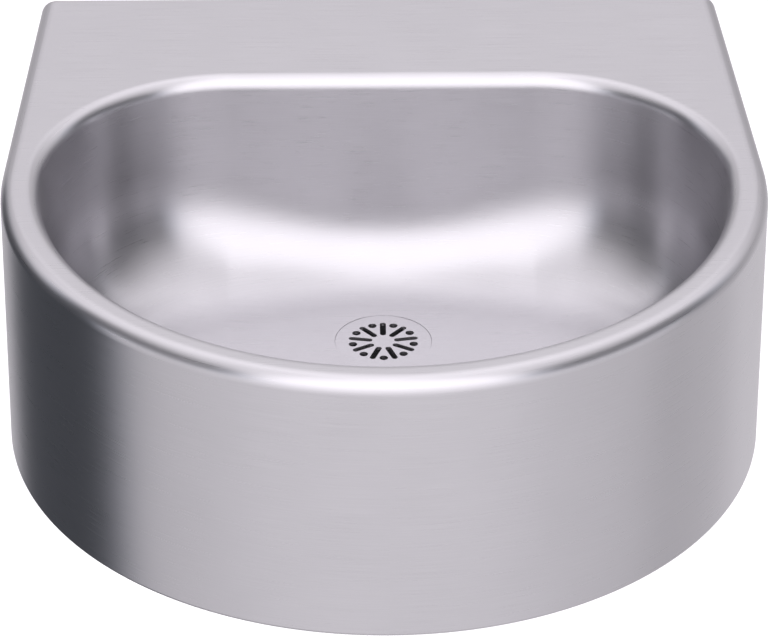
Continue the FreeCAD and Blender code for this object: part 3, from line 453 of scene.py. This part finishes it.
def satin_steel(finish, name="satin_brushed_stainless", coarse=1.0):
    """Stainless sheet, polished and then brushed with a fine belt.

    The grit lines run level, along X where the steel lies flat and round the basin where it stands.
    They spread a reflection across themselves and keep it sharp along themselves.
    """
    material, shader = new_material(name, finish.satin, 0.30, 1.0)
    shader.inputs["Anisotropic"].default_value = 0.85
    normal = add_node(material, "ShaderNodeNewGeometry").outputs["Normal"]
    upright = add_node(material, "ShaderNodeSeparateXYZ", {"Vector": normal}).outputs["Z"]
    flat = add_node(material, "ShaderNodeMapRange",
                    {"Value": upright, "From Min": 0.90, "From Max": 0.98},
                    interpolation_type="SMOOTHSTEP").outputs["Result"]
    steep = add_node(material, "ShaderNodeMath", {0: 1.0, 1: flat}, operation="SUBTRACT").outputs[0]
    across = add_node(material, "ShaderNodeCombineXYZ", {"X": 0.0, "Y": flat, "Z": steep})
    link(material, across.outputs["Vector"], shader.inputs["Tangent"])

    place = add_node(material, "ShaderNodeTexCoord").outputs["Object"]
    centred = add_node(material, "ShaderNodeMapping",
                       {"Vector": place, "Location": (0.0, -FRONT_CENTRE.y, 0.0)}).outputs["Vector"]
    parts = add_node(material, "ShaderNodeSeparateXYZ", {"Vector": centred})
    angle = add_node(material, "ShaderNodeMath", {0: parts.outputs["X"], 1: parts.outputs["Y"]},
                     operation="ARCTAN2").outputs[0]
    around = add_node(material, "ShaderNodeMath", {0: angle, 1: FRONT_RADIUS},
                      operation="MULTIPLY").outputs[0]
    standing = add_node(material, "ShaderNodeCombineXYZ",
                        {"X": around, "Y": parts.outputs["Z"], "Z": 0.0})
    lying = add_node(material, "ShaderNodeCombineXYZ",
                     {"X": parts.outputs["X"], "Y": parts.outputs["Y"], "Z": 0.0})
    # Real grit lines are about 0.02 mm apart. These are drawn as coarse as they need to show.
    run_mm, line_mm = 45.0, 0.6 * coarse
    grains = []
    for spot in (standing, lying):
        stretched = add_node(material, "ShaderNodeMapping",
                             {"Vector": spot.outputs["Vector"],
                              "Scale": (1 / (run_mm * MM), 1 / (line_mm * MM), 1.0)})
        grains.append(add_node(material, "ShaderNodeTexNoise",
                               {"Vector": stretched.outputs["Vector"], "Scale": 1.0, "Detail": 4.0,
                                "Roughness": 0.6}).outputs["Fac"])
    grain = add_node(material, "ShaderNodeMix", {"Factor": flat, "A": grains[0], "B": grains[1]},
                     data_type="FLOAT").outputs["Result"]
    rough = add_node(material, "ShaderNodeMapRange",
                     {"Value": grain, "From Min": 0.25, "From Max": 0.75,
                      "To Min": 0.26, "To Max": 0.33})
    link(material, rough.outputs["Result"], shader.inputs["Roughness"])
    clouds = add_node(material, "ShaderNodeTexNoise",
                      {"Vector": place, "Scale": 1 / (35 * MM), "Detail": 2.0})
    worn = add_node(material, "ShaderNodeMath", {0: clouds.outputs["Fac"], 1: 0.35, 2: grain},
                    operation="MULTIPLY_ADD").outputs[0]
    shade = add_node(material, "ShaderNodeMapRange", {"Value": worn, "From Min": 0.4, "From Max": 0.95,
                                                      "To Min": 0.955, "To Max": 1.03})
    tone = add_node(material, "ShaderNodeVectorMath",
                    {0: tuple(finish.satin)[:3], "Scale": shade.outputs["Result"]}, operation="SCALE")
    link(material, tone.outputs["Vector"], shader.inputs["Base Color"])
    return material


def mill_steel(finish):
    """Cold-rolled 2B sheet: a dull grey mirror with faint roll lines along it and small clouds."""
    material, shader = new_material("mill_finish_stainless", finish.mill, 0.34, 1.0)
    place = add_node(material, "ShaderNodeTexCoord").outputs["Object"]
    clouds = add_node(material, "ShaderNodeTexNoise",
                      {"Vector": place, "Scale": 1 / (14 * MM), "Detail": 4.0})
    rolled = add_node(material, "ShaderNodeMapping",
                      {"Vector": place, "Scale": (1 / (80 * MM), 1 / (0.8 * MM), 1 / (0.8 * MM))})
    lines = add_node(material, "ShaderNodeTexNoise", {"Vector": rolled.outputs["Vector"], "Scale": 1.0,
                                                      "Detail": 3.0})
    mixed = add_node(material, "ShaderNodeMix", {"Factor": 0.5, "A": clouds.outputs["Fac"],
                                                 "B": lines.outputs["Fac"]}, data_type="FLOAT")
    rough = add_node(material, "ShaderNodeMapRange", {"Value": mixed.outputs["Result"], "From Min": 0.3,
                                                      "From Max": 0.7, "To Min": 0.26, "To Max": 0.42})
    link(material, rough.outputs["Result"], shader.inputs["Roughness"])
    shade = add_node(material, "ShaderNodeMapRange", {"Value": mixed.outputs["Result"], "From Min": 0.3,
                                                      "From Max": 0.7, "To Min": 0.90, "To Max": 1.04})
    tone = add_node(material, "ShaderNodeVectorMath",
                    {0: tuple(finish.mill)[:3], "Scale": shade.outputs["Result"]}, operation="SCALE")
    link(material, tone.outputs["Vector"], shader.inputs["Base Color"])
    return material


def mottled(material, shader, colour, spot_mm, shades, roughness):
    """Vary a material's colour and roughness together with spots of a real size."""
    place = add_node(material, "ShaderNodeTexCoord").outputs["Object"]
    spots = add_node(material, "ShaderNodeTexNoise", {"Vector": place, "Scale": 1 / (spot_mm * MM),
                                                      "Detail": 5.0, "Roughness": 0.6}).outputs["Fac"]
    shade = add_node(material, "ShaderNodeMapRange", {"Value": spots, "From Min": 0.3, "From Max": 0.7,
                                                      "To Min": shades[0], "To Max": shades[1]})
    tone = add_node(material, "ShaderNodeVectorMath",
                    {0: tuple(colour)[:3], "Scale": shade.outputs["Result"]}, operation="SCALE")
    link(material, tone.outputs["Vector"], shader.inputs["Base Color"])
    rough = add_node(material, "ShaderNodeMapRange", {"Value": spots, "From Min": 0.3, "From Max": 0.7,
                                                      "To Min": roughness[0], "To Max": roughness[1]})
    link(material, rough.outputs["Result"], shader.inputs["Roughness"])
    return spots


def bright_steel(finish):
    """A2 stainless, cold-headed and turned: bright, with the faint mottle of tumbling."""
    material, shader = new_material("turned_a2_stainless", finish.bright, 0.24, 1.0)
    mottled(material, shader, finish.bright, spot_mm=1.5,
            shades=(0.92, 1.04), roughness=(0.18, 0.30))
    return material


def drain_inside(finish):
    """The waste's bore: dull steel painted dark as the shade inside the waste, mottled in spots."""
    material, shader = new_material("bore_painted_shade", finish.bore, 0.6)
    mottled(material, shader, finish.bore, spot_mm=3.0,
            shades=(0.75, 1.3), roughness=(0.5, 0.75))
    return material


def seal_rubber(finish):
    """EPDM rubber, moulded: matt black with a slight bloom."""
    material, shader = new_material("moulded_epdm", finish.rubber, 0.55)
    mottled(material, shader, finish.rubber, spot_mm=4.0,
            shades=(0.85, 1.25), roughness=(0.48, 0.62))
    return material


def damping_sheet(finish):
    """Bitumen damping sheet, pressed with a fine waffle and rolled on: dull black with soft dimples."""
    material, shader = new_material("pressed_bitumen", finish.bitumen, 0.7)
    spots = mottled(material, shader, finish.bitumen, spot_mm=2.0,
                    shades=(0.8, 1.3), roughness=(0.6, 0.8))
    place = add_node(material, "ShaderNodeTexCoord").outputs["Object"]
    waffle = add_node(material, "ShaderNodeTexVoronoi", {"Vector": place, "Scale": 1 / (4 * MM)})
    height = add_node(material, "ShaderNodeMath", {0: waffle.outputs["Distance"], 1: spots},
                      operation="ADD")
    bump = add_node(material, "ShaderNodeBump", {"Height": height.outputs[0], "Strength": 0.5,
                                                 "Distance": 0.3 * MM})
    link(material, bump.outputs["Normal"], shader.inputs["Normal"])
    return material


def polythene(finish):
    """Polythene, stamped from sheet: white, waxy and slightly cloudy."""
    material, shader = new_material("stamped_polythene", finish.polythene, 0.42)
    shader.inputs["Subsurface Weight"].default_value = 0.15
    shader.inputs["Subsurface Radius"].default_value = (2 * MM, 2 * MM, 2 * MM)
    shader.inputs["Subsurface Scale"].default_value = 1.0
    mottled(material, shader, finish.polythene, spot_mm=6.0,
            shades=(0.97, 1.02), roughness=(0.38, 0.46))
    return material


def turned_brass(finish):
    """Brass, forged and faced on a lathe: warm yellow, slightly dulled, with turning rings."""
    material, shader = new_material("turned_brass", finish.brass, 0.28, 1.0)
    mottled(material, shader, finish.brass, spot_mm=3.0,
            shades=(0.88, 1.05), roughness=(0.22, 0.36))
    place = add_node(material, "ShaderNodeTexCoord").outputs["Object"]
    centred = add_node(material, "ShaderNodeMapping",
                       {"Vector": place, "Location": (0.0, -DRAIN.y, 0.0)})
    rings = add_node(material, "ShaderNodeTexWave", {"Vector": centred.outputs["Vector"],
                                                     "Scale": 1 / (6 * MM), "Distortion": 0.5},
                     wave_type="RINGS", rings_direction="Z")
    bump = add_node(material, "ShaderNodeBump", {"Height": rings.outputs["Fac"], "Strength": 0.15,
                                                 "Distance": 0.05 * MM})
    link(material, bump.outputs["Normal"], shader.inputs["Normal"])
    return material


# ---------------------------------------------------------------- fittings

def node_copy(name):
    """Copy a constructed part's mesh, join its triangles and clear the edges inside flat faces."""
    bm = bmesh.new()
    bm.from_mesh(frame["nodes"][name].data)
    bmesh.ops.remove_doubles(bm, verts=bm.verts, dist=SAME_POINT)
    bmesh.ops.dissolve_limit(bm, angle_limit=radians(1), verts=bm.verts, edges=bm.edges,
                             use_dissolve_boundaries=False, delimit={"NORMAL"})
    return bm


FOLD_ANGLE = radians(60)    # an edge that turns by more may be a fold of the sheet
EDGE_ANGLE = radians(40)    # an edge that turns by more is sharp enough to be broken


def bend_sheet(bm, sheet, inner, span):
    """Give a folded sheet its real bend radii. The bends run along X for more than the span."""
    cut_edge = 1.2 * sheet  # faces narrower than this are the sheet's own thickness
    along_x = 0.999
    outer_bends, inner_bends = [], []
    for edge in bm.edges:
        line = edge.verts[1].co - edge.verts[0].co
        if len(edge.link_faces) != 2 or line.length < span or abs(line.x) < along_x * line.length:
            continue
        if edge.calc_face_angle() < FOLD_ANGLE:
            continue
        widths = [max((vert.co - edge.verts[0].co).cross(line.normalized()).length
                      for vert in face.verts) for face in edge.link_faces]
        if min(widths) > cut_edge:
            (outer_bends if edge.is_convex else inner_bends).append(edge)
    for edges, radius in ((outer_bends, inner + sheet), (inner_bends, inner)):
        if edges:
            bmesh.ops.bevel(bm, geom=[edge for edge in edges if edge.is_valid], offset=radius,
                            segments=5, profile=0.5, affect="EDGES", clamp_overlap=True, material=-1)


def soften(bm, width, segments=2):
    """Break the sharp edges, as tumbling or a light chamfer leaves them."""
    sharp = [edge for edge in bm.edges
             if len(edge.link_faces) == 2 and edge.calc_face_angle() > EDGE_ANGLE]
    bmesh.ops.bevel(bm, geom=sharp, offset=width, segments=segments, profile=0.5, affect="EDGES",
                    clamp_overlap=True, material=-1)


def slot_of(node):
    """Find the record's material slot of a constructed part."""
    for part in frame["record"]["subparts"]:
        if part["node"] == node:
            return part["material_slot"]
    raise RuntimeError("no slot holds " + node)


class BASIN_OT_sheet_fittings(bpy.types.Operator):
    """Model the rail, bracket, stiffener, lugs and earth tag as folded and sheared sheet."""
    bl_idname = "basin.sheet_fittings"
    bl_label = "Sheet fittings"

    def execute(self, context):
        steel = mill_steel(context.scene.basin_finish)
        for node, sheet, inner, span, edge in (
                ("rear_rail", 2.0, 1.5, 40.0, 0.25), ("wall_bracket", 2.5, 1.5, 40.0, 0.3),
                ("ledge_stiffener", 1.5, 1.0, 40.0, 0.2), ("earth_tag", 1.5, 0.8, 10.0, 0.2),
                ("right_fixing_lug", 3.0, 0.0, 0.0, 0.35), ("left_fixing_lug", 3.0, 0.0, 0.0, 0.35)):
            bm = node_copy(node)
            if inner:
                bend_sheet(bm, sheet * MM, inner * MM, span * MM)
            soften(bm, edge * MM)
            finish_piece(bm, node + "_folded", steel, replaced=(node,), slot=slot_of(node))
        return {"FINISHED"}


class BASIN_OT_fasteners(bpy.types.Operator):
    """Break the edges of the screws, nuts and washers."""
    bl_idname = "basin.fasteners"
    bl_label = "Fasteners"

    def execute(self, context):
        steel = bright_steel(context.scene.basin_finish)
        for node, edge in (("locking_screws", 0.3), ("locking_washers", 0.15), ("locking_nuts", 0.4),
                           ("earth_screw", 0.25), ("earth_star_washer", 0.08), ("earth_washer", 0.12),
                           ("earth_nut", 0.35)):
            bm = node_copy(node)
            soften(bm, edge * MM)
            finish_piece(bm, node + "_softened", steel, replaced=(node,), slot=slot_of(node))
        return {"FINISHED"}


class BASIN_OT_waste(bpy.types.Operator):
    """Model the waste: its slotted flange, tail, seals and backnut."""
    bl_idname = "basin.waste"
    bl_label = "Waste"

    def execute(self, context):
        finish = context.scene.basin_finish
        bm = node_copy("waste_body")
        soften(bm, 0.2 * MM)
        piece = finish_piece(bm, "waste_fitting", satin_steel(finish, "satin_waste_stainless", 0.5),
                             replaced=("waste_body",), slot="waste_steel")
        piece.data.materials.append(drain_inside(finish))
        # The faces inside the bore below the grate take the dark bore material: painted shade.
        grate, bore_radius = 1.0 * MM, 19.1 * MM
        for face in piece.data.polygons:
            middle = face.center - DRAIN
            if middle.z < -grate and middle.xy.length < bore_radius:
                face.material_index = 1
        for node, material, edge in (("waste_gasket", seal_rubber(finish), 0.3),
                                     ("waste_rubber_washer", seal_rubber(finish), 0.5),
                                     ("waste_slip_washer", polythene(finish), 0.25),
                                     ("waste_backnut", turned_brass(finish), 0.6)):
            bm = node_copy(node)
            soften(bm, edge * MM)
            finish_piece(bm, node + "_softened", material, replaced=(node,), slot=slot_of(node))
        return {"FINISHED"}


class BASIN_OT_damping(bpy.types.Operator):
    """Model the two damping sheets."""
    bl_idname = "basin.damping"
    bl_label = "Damping"

    def execute(self, context):
        bitumen = damping_sheet(context.scene.basin_finish)
        for node in ("bowl_damping_pad", "ledge_damping_strip"):
            bm = node_copy(node)
            soften(bm, 0.6 * MM, 3)
            finish_piece(bm, node + "_pressed", bitumen, replaced=(node,), slot=slot_of(node))
        return {"FINISHED"}


# ---------------------------------------------------------------- studio

# What the room sends towards the basin, by angle in the upright plane from the wall over the top to the
# front: 0 is level towards the wall, 90 straight up, 180 level towards the front, below 0 from beneath.
ROOM_LEVELS = ((-180, 1.25), (-165, 0.98), (-147, 0.84), (-100, 0.72), (-40, 0.85), (0, 0.46),
               (38, 0.93), (60, 1.35), (75, 1.50), (105, 1.80), (128, 1.85), (140, 1.90),
               (150, 2.05), (162, 1.50), (180, 1.25))
RAMP_TOP = 2.0              # the colour ramp holds the levels divided by this
CARDS = (("left_card", -0.92), ("right_card", -0.18))   # what each adds, as a share of the light there
ROOM_TINT = (1.02, 0.985, 1.03, 1.0)
SHADE_TINT = (0.92, 0.99, 1.16, 1.0)


def studio_world():
    """White room, bright overhead and in front; dark cards at both sides for the metal to show."""
    world = bpy.data.worlds.new("white_studio")
    world.use_nodes = True
    direction = add_node(world, "ShaderNodeTexCoord").outputs["Generated"]
    axes = add_node(world, "ShaderNodeSeparateXYZ", {"Vector": direction}).outputs
    height = axes["Z"]
    overhead = add_node(world, "ShaderNodeMath", {0: height, 1: axes["Y"]},
                        operation="ARCTAN2").outputs[0]
    turned = add_node(world, "ShaderNodeMath", {0: overhead, 1: 0.5 / pi, 2: 0.5},
                      operation="MULTIPLY_ADD")
    levels = add_node(world, "ShaderNodeValToRGB", {"Fac": turned.outputs[0]})
    stops = levels.color_ramp.elements
    for _ in ROOM_LEVELS[2:]:
        stops.new(0.5)
    for stop, (angle, level) in zip(stops, ROOM_LEVELS):
        stop.position = angle / 360 + 0.5
        stop.color = (level / RAMP_TOP, level / RAMP_TOP, level / RAMP_TOP, 1.0)
    room = add_node(world, "ShaderNodeMath", {0: levels.outputs["Color"], 1: RAMP_TOP},
                    operation="MULTIPLY").outputs[0]

    front = add_node(world, "ShaderNodeMath", {0: axes["Y"], 1: -1.0}, operation="MULTIPLY").outputs[0]
    side = add_node(world, "ShaderNodeMath", {0: axes["X"], 1: front}, operation="ARCTAN2").outputs[0]
    off_middle = add_node(world, "ShaderNodeMath", {0: side}, operation="ABSOLUTE").outputs[0]
    zones = {}
    for name, value, start, end, low, high in (     # each goes smoothly from low to high
            ("off_front", off_middle, radians(30), radians(52), 0.0, 1.0),
            ("off_wall", off_middle, radians(98), radians(124), 1.0, 0.0),
            ("raised", height, 0.0, 0.20, 0.0, 1.0),
            ("below_top", height, 0.42, 0.60, 1.0, 0.0),
            ("above_cards", height, 0.45, 0.90, 0.05, 1.10),
            ("low", height, 0.05, 0.30, 1.0, 0.0),
            ("left_back", side, radians(-152), radians(-146), 0.0, 1.0),
            ("left_front", side, radians(-93), radians(-77), 1.0, 0.0),
            ("right_front", side, radians(80), radians(92), 0.0, 1.0),
            ("right_back", side, radians(118), radians(135), 1.0, 0.0)):
        step = add_node(world, "ShaderNodeMapRange",
                        {"Value": value, "From Min": start, "From Max": end,
                         "To Min": low, "To Max": high}, interpolation_type="SMOOTHSTEP")
        zones[name] = step.outputs["Result"]
    for name, first, *factors in (("aside", "off_front", "off_wall", "raised"),
                                  ("low_aside", "aside", "below_top"),
                                  ("left_card", "left_back", "left_front", "low"),
                                  ("right_card", "right_front", "right_back", "low")):
        zones[name] = zones[first]
        for factor in factors:
            zones[name] = add_node(world, "ShaderNodeMath", {0: zones[name], 1: zones[factor]},
                                   operation="MULTIPLY").outputs[0]

    level = add_node(world, "ShaderNodeMix",
                     {"Factor": zones["aside"], "A": room, "B": zones["above_cards"]},
                     data_type="FLOAT").outputs["Result"]
    for card, darkening in CARDS:
        left = add_node(world, "ShaderNodeMath", {0: zones[card], 1: darkening, 2: 1.0},
                        operation="MULTIPLY_ADD").outputs[0]
        level = add_node(world, "ShaderNodeMath", {0: level, 1: left}, operation="MULTIPLY").outputs[0]

    # Where a Mix node mixes colours, they are its inputs 6 and 7 and its output 2.
    seen = add_node(world, "ShaderNodeLightPath").outputs["Is Camera Ray"]
    shaded = add_node(world, "ShaderNodeMath", {0: zones["left_card"], 1: zones["low_aside"]},
                      operation="MAXIMUM").outputs[0]
    tinted = add_node(world, "ShaderNodeMix", {"Factor": shaded, 6: ROOM_TINT, 7: SHADE_TINT},
                      data_type="RGBA").outputs[2]
    colour = add_node(world, "ShaderNodeMix", {"Factor": seen, 6: tinted, 7: (1.0, 1.0, 1.0, 1.0)},
                      data_type="RGBA").outputs[2]
    strength = add_node(world, "ShaderNodeMix", {"Factor": seen, "A": level, "B": 1.0},
                        data_type="FLOAT")
    background = world.node_tree.nodes["Background"]
    link(world, colour, background.inputs["Color"])
    link(world, strength.outputs["Result"], background.inputs["Strength"])
    return world


class BASIN_OT_studio(bpy.types.Operator):
    """Set up the camera, the white studio and the floor."""
    bl_idname = "basin.studio"
    bl_label = "Studio"

    def execute(self, context):
        scene = context.scene
        studio = scene.basin_studio
        scene.view_settings.view_transform = "Standard"
        scene.world = studio_world()

        tilt = studio.elevation
        ahead = Vector((0, cos(tilt), -sin(tilt)))
        upright = Vector((0, sin(tilt), cos(tilt)))
        level = Vector((1, 0, 0))
        unturn = Matrix.Rotation(-studio.turn, 3, "Z")
        right = unturn @ (level * cos(studio.roll) - upright * sin(studio.roll))
        up = unturn @ (level * sin(studio.roll) + upright * cos(studio.roll))
        foot = Vector((0, FRONT_CENTRE.y, LOWER_EDGE))
        place = foot + unturn @ (upright * studio.rise - ahead * studio.distance)
        data = bpy.data.cameras.new("camera")
        data.lens = studio.lens
        data.sensor_width = 36.0
        camera = bpy.data.objects.new("camera", data)
        scene.collection.objects.link(camera)
        axes = Matrix((right, up, right.cross(up))).transposed().to_4x4()
        camera.matrix_world = Matrix.Translation(place) @ axes
        scene.camera = camera

        bm = bmesh.new()
        bmesh.ops.create_grid(bm, x_segments=1, y_segments=1, size=6.0)
        bmesh.ops.translate(bm, verts=bm.verts, vec=(0, 0, LOWER_EDGE - studio.floor_drop))
        mesh = bpy.data.meshes.new("floor")
        bm.to_mesh(mesh)
        bm.free()
        material, shader = new_material("matt_white_floor", scene.basin_finish.floor, 0.9)
        shader.inputs["Emission Color"].default_value = (1, 1, 1, 1)
        seen = add_node(material, "ShaderNodeLightPath").outputs["Is Camera Ray"]
        glow = add_node(material, "ShaderNodeMath", {0: seen, 1: 0.25}, operation="MULTIPLY")
        link(material, glow.outputs[0], shader.inputs["Emission Strength"])
        clear = add_node(material, "ShaderNodeBsdfTransparent")
        below = add_node(material, "ShaderNodeNewGeometry").outputs["Backfacing"]
        one_sided = add_node(material, "ShaderNodeMixShader", {0: below, 1: shader.outputs["BSDF"],
                                                               2: clear.outputs["BSDF"]})
        link(material, one_sided.outputs["Shader"],
              material.node_tree.nodes["Material Output"].inputs["Surface"])
        mesh.materials.append(material)
        floor = bpy.data.objects.new("floor", mesh)
        scene.collection.objects.link(floor)
        floor.visible_glossy = False
        return {"FINISHED"}


# ---------------------------------------------------------------- panel and run

class BASIN_PT_sidebar(bpy.types.Panel):
    """The basin's steps, in the order in which they are made."""
    bl_label = "Basin"
    bl_space_type = "VIEW_3D"
    bl_region_type = "UI"
    bl_category = "Basin"

    def draw(self, context):
        for step in STEPS:
            self.layout.operator(step.bl_idname)


STEPS = (BASIN_OT_studio, BASIN_OT_steel_skin, BASIN_OT_waste, BASIN_OT_sheet_fittings,
         BASIN_OT_fasteners, BASIN_OT_damping)
CLASSES = (BasinSizes, BasinFinish, BasinStudio, *STEPS, BASIN_PT_sidebar)


def register():
    for item in CLASSES:
        bpy.utils.register_class(item)
    bpy.types.Scene.basin_sizes = PointerProperty(type=BasinSizes)
    bpy.types.Scene.basin_finish = PointerProperty(type=BasinFinish)
    bpy.types.Scene.basin_studio = PointerProperty(type=BasinStudio)


def unregister():
    del bpy.types.Scene.basin_studio
    del bpy.types.Scene.basin_finish
    del bpy.types.Scene.basin_sizes
    for item in reversed(CLASSES):
        bpy.utils.unregister_class(item)


def main():
    register()
    for step in STEPS:
        group, name = step.bl_idname.split(".")
        getattr(getattr(bpy.ops, group), name)()


if __name__ == "__main__":
    main()
